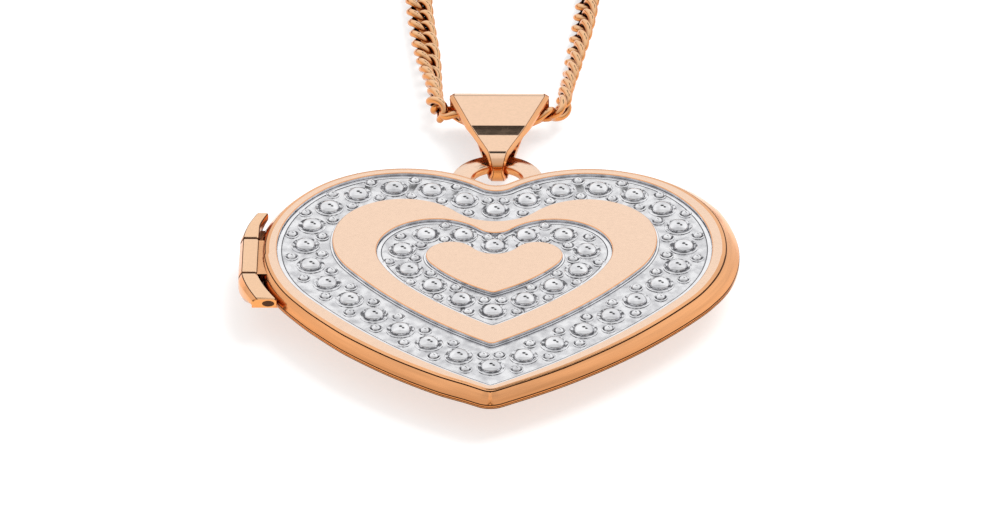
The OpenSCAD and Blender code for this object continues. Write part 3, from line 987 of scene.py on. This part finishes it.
def pendant_ring():
    """The flat ring at the cleft, with its edges taken off."""
    r0, r1 = RING_HOLE_D / 2, RING_D / 2
    b = 0.05
    bm = bmesh.new()
    lathe(bm, Vector((0, RING_Y, 0)), [
        (r0, RING_LOW + b), (r0 + b, RING_LOW), (r1 - b, RING_LOW), (r1, RING_LOW + b),
        (r1, RING_TOP - b), (r1 - b, RING_TOP), (r0 + b, RING_TOP), (r0, RING_TOP - b)], 96)
    piece = to_object(bm, "pendant_ring_turned", [ROSE], sharp=50)
    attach(piece, "back")
    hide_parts("pendant_ring")


BAIL_T = 0.24
BAIL_FOOT_T = 0.12
BAIL_LOW_R = 0.72
BAIL_TOP_R = 0.85
BAIL_TOP_Y = high("bail", Y) - BAIL_TOP_R
PIVOT_Y = RING_Y + (RING_D + RING_HOLE_D) / 4
PIVOT_Z = (RING_TOP + RING_LOW) / 2
BAIL_SLOPE = 0.8
BAIL_SLOPE_LEN = 1.12
BAIL_STEP = 9
BAIL_BACK_W = 2.3
# The fine line across the fold: where it is on the fold's arc, and the arc's steps up to it.
FOLD_LINE_AT = 86
FOLD_STEPS = 14


def bail_half_width(y, front):
    """Half the strip's width at y, on its front leg or its back leg."""
    foot, fold = PIVOT_Y - BAIL_LOW_R, BAIL_TOP_Y + BAIL_TOP_R - BAIL_T
    if front:
        return between([(foot, 0.26), (foot + 0.06, 0.34), (foot + 0.35, 0.45), (PIVOT_Y, 0.6),
                        (PIVOT_Y + 1.1, 1.04), (PIVOT_Y + 1.75, 1.34),
                        (BAIL_TOP_Y, BAIL_W / 2)], y)
    return between([(foot, 0.26), (foot + 0.06, 0.34), (PIVOT_Y, 0.42),
                    (BAIL_TOP_Y, BAIL_BACK_W / 2), (fold, BAIL_W / 2)], y)


def bail_side_view():
    """The loop's outside, from the fold down the front leg, round the foot and up the back.

    Also how many of its points, up to halfway round the foot, have the front leg's width.
    """
    pivot, top = Vector((PIVOT_Y, PIVOT_Z)), Vector((BAIL_TOP_Y, PIVOT_Z))
    crease = pivot + polar(BAIL_LOW_R, 90 + BAIL_SLOPE)
    step = crease + polar(BAIL_SLOPE_LEN, BAIL_SLOPE)
    drop = top.y + BAIL_TOP_R - step.y
    knee = step + polar(drop / math.sin(math.radians(BAIL_STEP)), BAIL_STEP)
    bend = [knee + Vector((0.08, 0)), knee - Vector((0.04, 0.004)), knee.lerp(step, 0.12),
            knee.lerp(step, 0.5), knee.lerp(step, 0.9), step, step.lerp(crease, 0.06),
            step.lerp(crease, 0.5)]
    front = (arc(top, BAIL_TOP_R, 0, FOLD_LINE_AT, FOLD_STEPS)
             + arc(top, BAIL_TOP_R, FOLD_LINE_AT + 2, 90, 1))
    straight = [front[-1].lerp(bend[0], i / 12) for i in range(1, 12)]
    foot = arc(pivot, BAIL_LOW_R, 90 + BAIL_SLOPE, 272, 24)
    leg = [foot[-1].lerp(top + polar(BAIL_TOP_R, 270), i / 12) for i in range(1, 12)]
    back = arc(top, BAIL_TOP_R, 270, 359, FOLD_STEPS)
    front_count = len(front) + len(straight) + len(bend) + 13
    return front + straight + bend + foot + leg + back, front_count


def bail():
    """The folded strip, with a bevel and a fine line of painted shade along each long edge of its
    front.
    """
    line, front_count = bail_side_view()
    count = len(line)
    bm = bmesh.new()
    rings = []
    for i, point in enumerate(line):
        along = (line[(i + 1) % count] - line[i - 1]).normalized()
        out = Vector((along.y, -along.x))
        w = bail_half_width(point.x, i < front_count)
        t = between([(PIVOT_Y, BAIL_FOOT_T), (PIVOT_Y + 1.0, BAIL_FOOT_T),
                     (PIVOT_Y + 1.8, BAIL_T)], point.x)
        bevel = min(0.17, w * 0.26)
        half = [(w, t - 0.03), (w, 0.11), (w - bevel, 0.012), (w - bevel - 0.025, 0.012),
                (w - bevel - 0.045, 0.0)]
        section = [(-x, d) for x, d in half] + [(x, d) for x, d in reversed(half)]
        section += [(w - 0.03, t), (-w + 0.03, t)]
        rings.append([bm.verts.new((x, point.x - out.x * d, point.y - out.y * d))
                      for x, d in section])
    # The strips between the section's corners: side, bevel, line, edge, face and back again; side
    # and bevel in the painted-shade side colour, the line a painted dark shade.
    materials = [1, 1, 2, 0, 0, 0, 2, 1, 1, 0, 0, 0]
    for i in range(count):
        a, b = rings[i], rings[(i + 1) % count]
        for k in range(len(a)):
            m = (k + 1) % len(a)
            face = bm.faces.new((a[k], a[m], b[m], b[k]))
            face.material_index = materials[k]
    # The fine line of painted shade across the fold, from one edge line to the other.
    bm.faces.ensure_lookup_table()
    for k in range(2, 7):
        bm.faces[FOLD_STEPS * len(materials) + k].material_index = 2
    piece = to_object(bm, "bail_strip", [ROSE_BAIL_PAINTED_SHADE, ROSE_SIDE_PAINTED_SHADE, BROWN_PAINTED_SHADE], sharp=24)
    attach(piece, "bail")
    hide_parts("bail")


pendant_ring()
bail()

# ---------------------------------------------------------------- the CAD's own pieces that show


def dress(node, material):
    """Gives a node of the CAD frame one material all over."""
    mesh = nodes[node].data
    mesh.materials.clear()
    mesh.materials.append(material)
    for polygon in mesh.polygons:
        polygon.material_index = 0


for node in ("closing_rim", "front_photo_frame", "back_photo_frame"):
    dress(node, ROSE_INSIDE)
for node in ("clasp_body", "clasp_eye", "clasp_bolt", "end_ring"):
    dress(node, ROSE)
for node in ("front_window", "back_window"):
    dress(node, CLEAR)
dress("clasp_spring", STEEL)

# ---------------------------------------------------------------- floor and light

FLOOR_HALF = 5000
FLOOR_Z = -0.02
# Grey round the sky, from the far horizon (0) over the top to the near one (1).
SKY_STOPS = [(0.0, 0.95), (0.08, 1.0), (0.25, 1.05), (0.56, 1.0), (0.62, 0.78), (0.84, 0.8),
             (0.92, 0.3), (1.0, 0.25)]
# Two dark flags: direction, cosines of the angles where each is full and where it ends, tone.
FLAGS = [((0.0, 0.545, 0.838), 0.9863, 0.983, 0.05), ((0.31, 0.30, 0.90), 0.988, 0.983, 0.1)]
# The lamp, in metres and watts.
KEY_AT = (0.15, 0.10, 0.35)
KEY_SIDE = 0.25
KEY_WATTS = 1.2


def floor():
    bm = bmesh.new()
    corners = [bm.verts.new((x * FLOOR_HALF, y * FLOOR_HALF, FLOOR_Z))
               for x, y in ((-1, -1), (1, -1), (1, 1), (-1, 1))]
    bm.faces.new(corners)
    obj = to_object(bm, "floor", [floor_paper()])


def sky():
    """A white studio, dim low down on the near side, with two small dark flags in it."""
    world = bpy.data.worlds.new("studio")
    bpy.context.scene.world = world
    world.use_nodes = True
    tree = world.node_tree
    back = tree.nodes["Background"]
    coords = tree.nodes.new("ShaderNodeTexCoord")
    split = tree.nodes.new("ShaderNodeSeparateXYZ")
    tree.links.new(coords.outputs["Generated"], split.inputs["Vector"])
    angle = tree.nodes.new("ShaderNodeMath")
    angle.operation = "ARCTAN2"
    tree.links.new(split.outputs["Z"], angle.inputs[0])
    tree.links.new(split.outputs["Y"], angle.inputs[1])
    turn = tree.nodes.new("ShaderNodeMath")
    turn.operation = "DIVIDE"
    turn.inputs[1].default_value = math.pi
    tree.links.new(angle.outputs[0], turn.inputs[0])
    strip = ramp(tree, turn.outputs[0], [(at, grey(tone)) for at, tone in SKY_STOPS])
    for direction, inner, outer, tone in FLAGS:
        dot = tree.nodes.new("ShaderNodeVectorMath")
        dot.operation = "DOT_PRODUCT"
        dot.inputs[1].default_value = Vector(direction).normalized()
        tree.links.new(coords.outputs["Generated"], dot.inputs[0])
        patch = ramp(tree, dot.outputs["Value"], [(outer, grey(1.0)), (inner, grey(tone))])
        strip = multiply(tree, strip, patch)
    tree.links.new(strip, back.inputs["Color"])
    back.inputs["Strength"].default_value = 1.0


def soft_box(name, centre, side, watts):
    """A square lamp that faces the piece and shows in none of its reflections."""
    data = bpy.data.lights.new(name, "AREA")
    data.shape = "RECTANGLE"
    data.size = side
    data.size_y = side
    data.energy = watts
    light = bpy.data.objects.new(name, data)
    bpy.context.scene.collection.objects.link(light)
    light.location = Vector(centre)
    light.visible_glossy = False
    light.rotation_euler = Vector(centre).to_track_quat("Z", "Y").to_euler()


floor()
sky()
soft_box("key", KEY_AT, KEY_SIDE, KEY_WATTS)
bpy.context.scene.view_settings.view_transform = "Standard"
